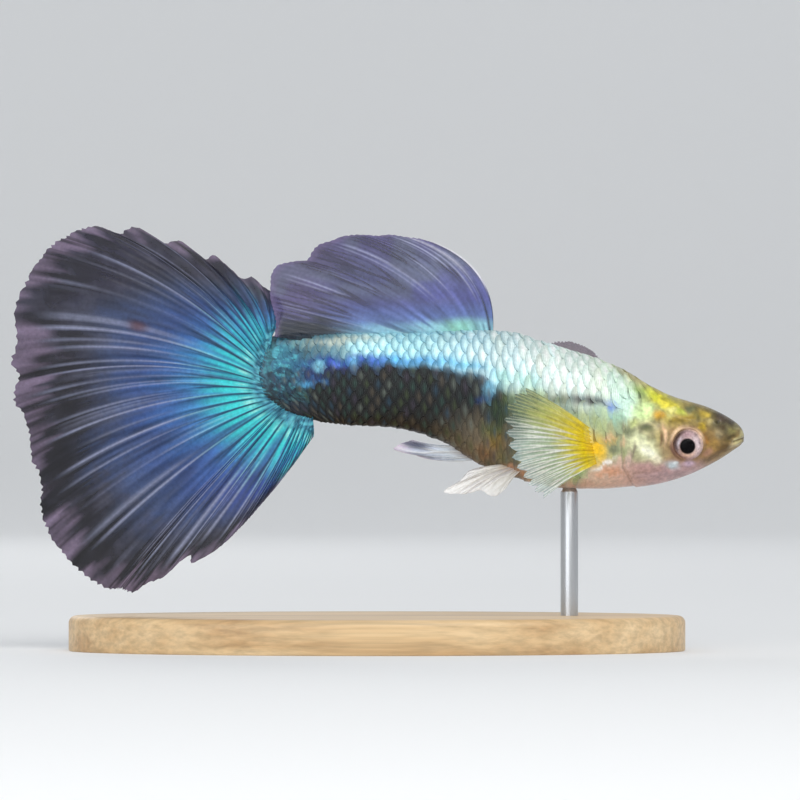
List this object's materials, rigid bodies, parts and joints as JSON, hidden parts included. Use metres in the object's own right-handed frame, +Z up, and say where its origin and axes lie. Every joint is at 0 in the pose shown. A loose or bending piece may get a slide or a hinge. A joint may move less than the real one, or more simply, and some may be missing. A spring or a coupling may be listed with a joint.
{
  "type": "fancy guppy fish model",
  "caption": "Life-size model of a male aquarium fish with a wide fan tail, swept dorsal fin and open breast fins, on an oval wooden base with one thin rod.",
  "frame": {"origin": "centre of the stand base's underside, on the surface that it rests on", "axes": "+X the way the fish faces, along the base's length; +Y the fish's left side; +Z up"},
  "size_m": [0.0499, 0.021, 0.0289],
  "materials": {
    "head_skin": "wet olive-gold skin, darker over the snout",
    "trunk_skin": "silver-mint scales with dark edges, black flank behind",
    "stem_skin": "near-black scales with blue and teal glints",
    "tail_fin": "turquoise near the stem, blue outside it, smoky grey at the edge",
    "clear_fin": "grey-violet membrane with pale rays",
    "white_fin": "milky white membrane",
    "breast_fin": "yellow at the root, pale towards the edge",
    "eye": "clear wet dome over a silver iris and a black pupil",
    "base_wood": "satin pale maple",
    "rod_steel": "brushed"
  },
  "bodies": {
    "root": {"head": "head_skin", "eye_right": "eye", "eye_left": "eye", "trunk": "trunk_skin", "tail_stem": "stem_skin", "tail_fin": "tail_fin", "dorsal_fin": "clear_fin", "anal_fin": "white_fin", "pelvic_fin_right": "white_fin", "pelvic_fin_left": "white_fin", "breast_fin_right": "breast_fin", "breast_fin_left": "breast_fin", "stand_base": "base_wood", "stand_rod": "rod_steel"}
  },
  "joints": []
}
